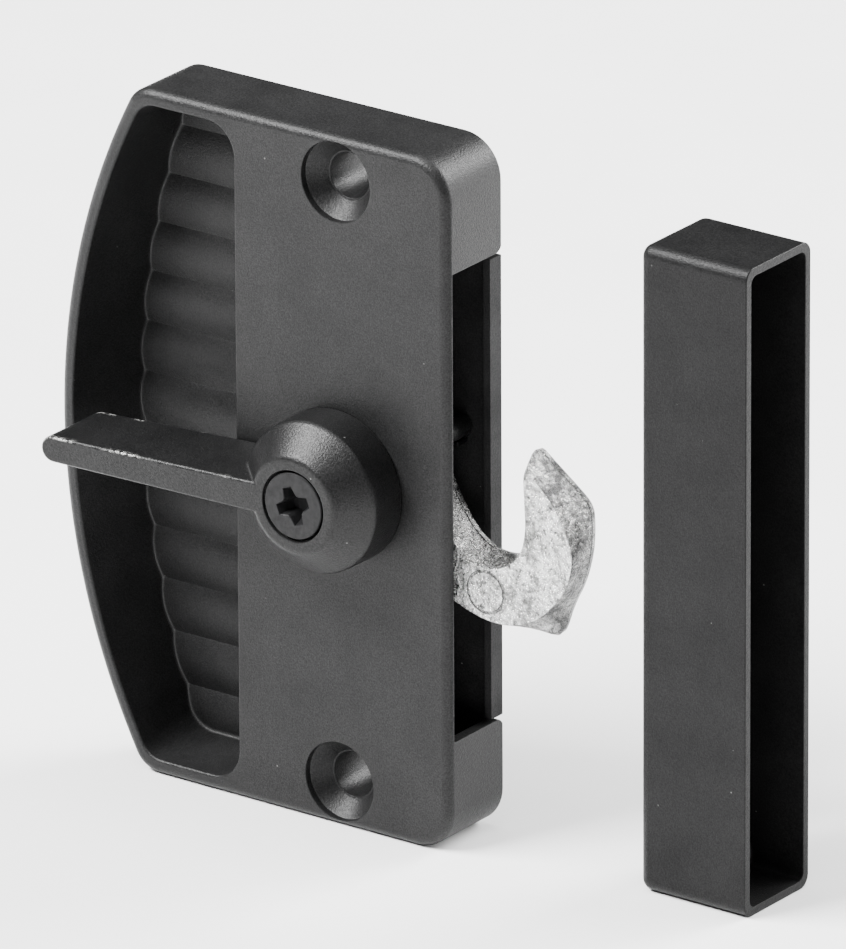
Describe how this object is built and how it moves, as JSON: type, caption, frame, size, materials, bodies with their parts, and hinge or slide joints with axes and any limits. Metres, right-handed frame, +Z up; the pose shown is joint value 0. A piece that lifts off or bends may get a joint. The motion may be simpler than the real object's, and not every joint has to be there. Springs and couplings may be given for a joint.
{
  "type": "sliding door hook latch and pull set",
  "caption": "Surface-mounted hook latch with thumb lever and ribbed finger recess, and its box-shaped outside pull, for a sliding screen door.",
  "frame": {"origin": "on the lever's pivot axis, midway between the two fixing holes, in the plane of the door face (the latch's back)", "axes": "+X from the bowed grip side to the hook side, +Y into the door, +Z up"},
  "size_m": [0.0971, 0.0265, 0.0876],
  "materials": {
    "black_coat": "satin black powder coat on a zinc casting",
    "lever_coat": "satin black powder coat, rubbed along the lever's edges",
    "pull_coat": "satin black powder coat on a zinc casting",
    "black_plate": "thin black coat on pressed steel",
    "plated_screw": "zinc plated",
    "black_screw": "black oxide, slightly polished",
    "bare_zinc": "bare tumbled zinc casting, mottled",
    "spring_steel": "spring temper, lightly oiled",
    "acetal": "natural moulded plastic"
  },
  "bodies": {
    "root": {"latch_housing": "black_coat", "back_plate": "black_plate", "back_plate_screws": "plated_screw", "pivot_bush": "acetal", "detent_spring": "spring_steel", "outside_pull": "pull_coat"},
    "latch_rotor": {"hook": "bare_zinc", "lever": "lever_coat", "lever_screw": "black_screw", "thrust_washer": "spring_steel"}
  },
  "joints": [
    {"name": "lever_turn", "type": "hinge", "parent": "root", "child": "latch_rotor", "pos_m": [0, 0, 0], "axis": [0, 1, 0], "range_deg": [0, 80], "deforming": ["detent_spring"]}
  ]
}
